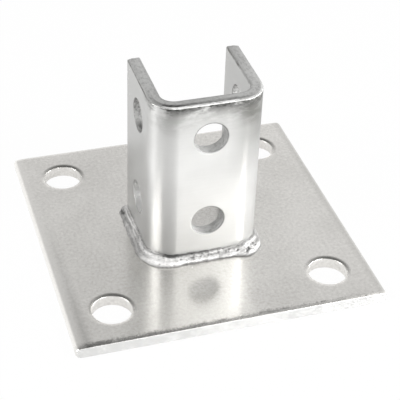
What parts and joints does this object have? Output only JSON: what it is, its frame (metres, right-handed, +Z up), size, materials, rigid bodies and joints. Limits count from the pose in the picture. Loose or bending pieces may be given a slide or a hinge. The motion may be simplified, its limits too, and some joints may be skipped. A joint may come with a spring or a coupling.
{
  "type": "strut post base",
  "caption": "Square steel floor plate with a bent U-shaped socket welded upright on it, holed for floor anchors and for the bolts that hold a strut channel post.",
  "frame": {"origin": "middle of the floor plate's underside", "axes": "+Z up along the socket, +X along the plate's front edge to the right, +Y towards the socket's open side; the socket's web faces -Y"},
  "size_m": [0.1524, 0.1524, 0.0953],
  "materials": {
    "zinc_plate": "zinc-plated rolled steel, satin with faint mottling",
    "zinc_channel": "zinc-plated bent steel, semi-bright",
    "zinc_weld": "zinc-plated weld bead, rippled"
  },
  "bodies": {
    "root": {"base_plate": "zinc_plate", "post_channel": "zinc_channel", "weld_bead": "zinc_weld"}
  },
  "joints": []
}
